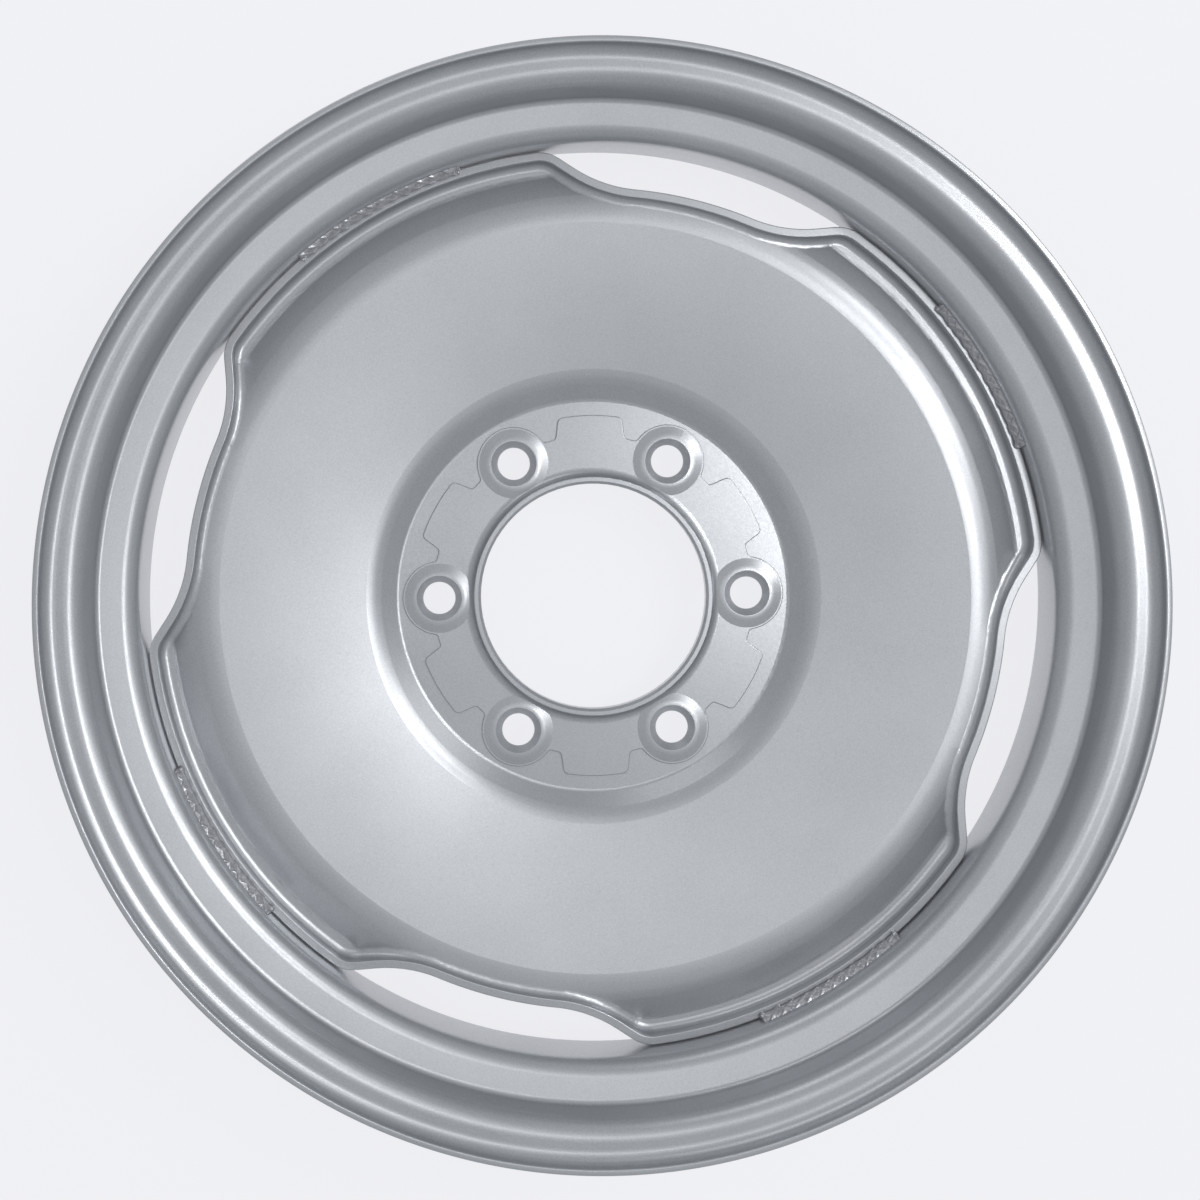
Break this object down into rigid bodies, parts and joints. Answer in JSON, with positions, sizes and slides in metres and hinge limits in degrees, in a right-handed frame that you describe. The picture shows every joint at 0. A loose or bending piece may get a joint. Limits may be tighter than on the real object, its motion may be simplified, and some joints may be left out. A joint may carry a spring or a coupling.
{
  "type": "wheel rim",
  "caption": "Pressed-steel disc wheel: drop-centre rim, dished disc with a wavy turned lip, open slots beside the rim, coned bolt holes and a collared pilot bore.",
  "frame": {"origin": "centre of the wheel: on its axis, in the middle plane of the rim, 26 mm outboard of the hub face", "axes": "+Z along the wheel's axis towards the outboard side, +X through the middle of a slot; the wheel lies on its inboard flange"},
  "size_m": [0.5168, 0.5168, 0.098],
  "materials": {
    "painted_rim": "silver-grey metallic paint on rolled steel sheet, semi-gloss",
    "painted_disc": "silver-grey metallic paint on pressed steel sheet, semi-gloss",
    "painted_weld": "the same silver-grey paint over a rippled weld bead"
  },
  "bodies": {
    "root": {"rim_ring": "painted_rim", "wheel_disc": "painted_disc", "weld_bead_1": "painted_weld", "weld_bead_2": "painted_weld", "weld_bead_3": "painted_weld", "weld_bead_4": "painted_weld"}
  },
  "joints": []
}
